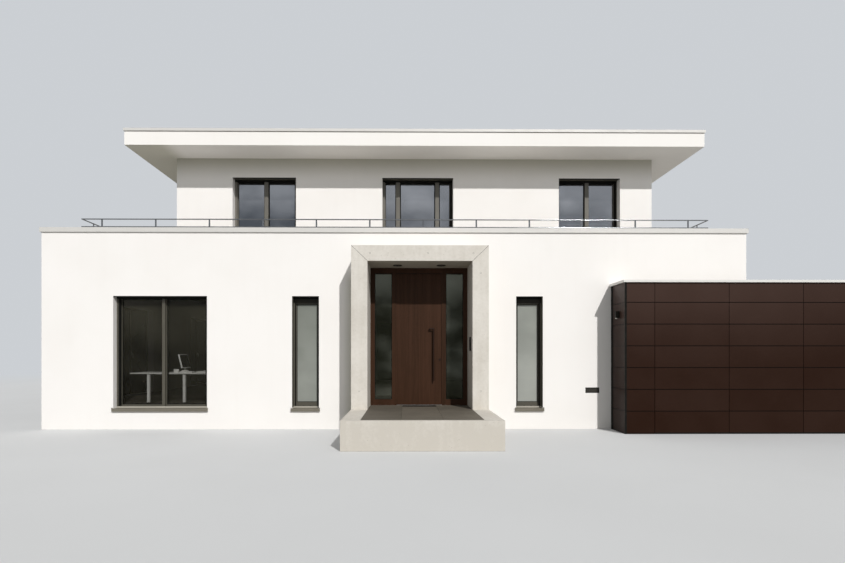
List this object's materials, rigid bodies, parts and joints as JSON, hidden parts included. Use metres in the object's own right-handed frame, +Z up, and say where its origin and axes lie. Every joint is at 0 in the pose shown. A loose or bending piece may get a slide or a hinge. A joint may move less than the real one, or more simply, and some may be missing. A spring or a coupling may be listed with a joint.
{
  "type": "detached house",
  "caption": "Flat-roofed detached house with a terrace storey, a concrete entrance portal and a double garage.",
  "frame": {"origin": "middle of the ground storey's footprint, on the underside of its floor at the lowest ground", "axes": "+X to the right along the street front, +Y into the house, +Z up"},
  "size_m": [18.66, 13.66, 6.588],
  "materials": {
    "white_render": "fine scraped mineral render",
    "inner_plaster": "smooth plaster and screed",
    "fair_concrete": "fair-faced concrete, closed pores",
    "roof_render": "smooth render on fascia and soffit",
    "coping_metal": "satin, weathered",
    "white_coping": "satin",
    "frame_metal": "satin, umbra grey",
    "clear_glass": "clear",
    "obscured_glass": "obscured, satin",
    "door_wood": "dark stained, upright grain",
    "garage_panel": "satin, dark brown",
    "railing_metal": "satin grey",
    "steel": "brushed",
    "dark_paving": "honed stone slabs",
    "terrace_stone": "concrete slabs",
    "garage_screed": "trowelled concrete",
    "lamp_metal": "matt, dark grey",
    "desk_white": "satin white"
  },
  "bodies": {
    "house": {"ground_slab": "inner_plaster", "front_wall_left": "white_render", "front_wall_right": "white_render", "front_wall_over_door": "white_render", "wall_over_garage": "white_render", "left_wall": "white_render", "right_wall": "white_render", "back_wall": "white_render", "first_floor_slab": "inner_plaster", "terrace_paving": "terrace_stone", "parapet_coping": "coping_metal", "upper_front_wall": "white_render", "upper_left_wall": "white_render", "upper_right_wall": "white_render", "upper_back_wall": "white_render", "roof_slab": "roof_render", "roof_edge_trim": "coping_metal", "railing_front": "railing_metal", "railing_left": "railing_metal", "railing_right": "railing_metal", "railing_back": "railing_metal", "portal_left_pier": "fair_concrete", "portal_right_pier": "fair_concrete", "portal_lintel": "fair_concrete", "porch_plinth": "fair_concrete", "porch_paving": "dark_paving", "foot_grille": "steel", "portal_downlights": "lamp_metal", "intercom_plate": "lamp_metal", "door_frame": "door_wood", "sidelight_glass": "clear_glass", "door_hinge_pins": "steel", "study_window_frame": "frame_metal", "study_window_glass": "clear_glass", "slim_window_frames": "frame_metal", "slim_window_glass": "obscured_glass", "upper_window_frames": "frame_metal", "upper_window_glass": "clear_glass", "side_window_frames": "frame_metal", "side_window_glass": "clear_glass", "rear_window_frames": "frame_metal", "rear_window_glass": "clear_glass", "study_desk": "desk_white", "window_sills": "frame_metal", "garage_floor": "garage_screed", "garage_left_wall": "white_render", "garage_right_wall": "white_render", "garage_back_wall": "white_render", "garage_roof_slab": "garage_screed", "garage_coping": "white_coping", "garage_front_cladding": "garage_panel", "garage_side_cladding": "garage_panel", "garage_door": "garage_panel", "path_light": "lamp_metal", "garage_lamp": "lamp_metal"},
    "entrance_door": {"door_leaf": "door_wood", "door_hinge_knuckles": "steel", "door_handles": "lamp_metal"}
  },
  "joints": [
    {"name": "entrance_door_hinge", "type": "hinge", "parent": "house", "child": "entrance_door", "pos_m": [-0.0105, -5.32, 0], "axis": [0, 0, 1], "range_deg": [0, 95]}
  ]
}
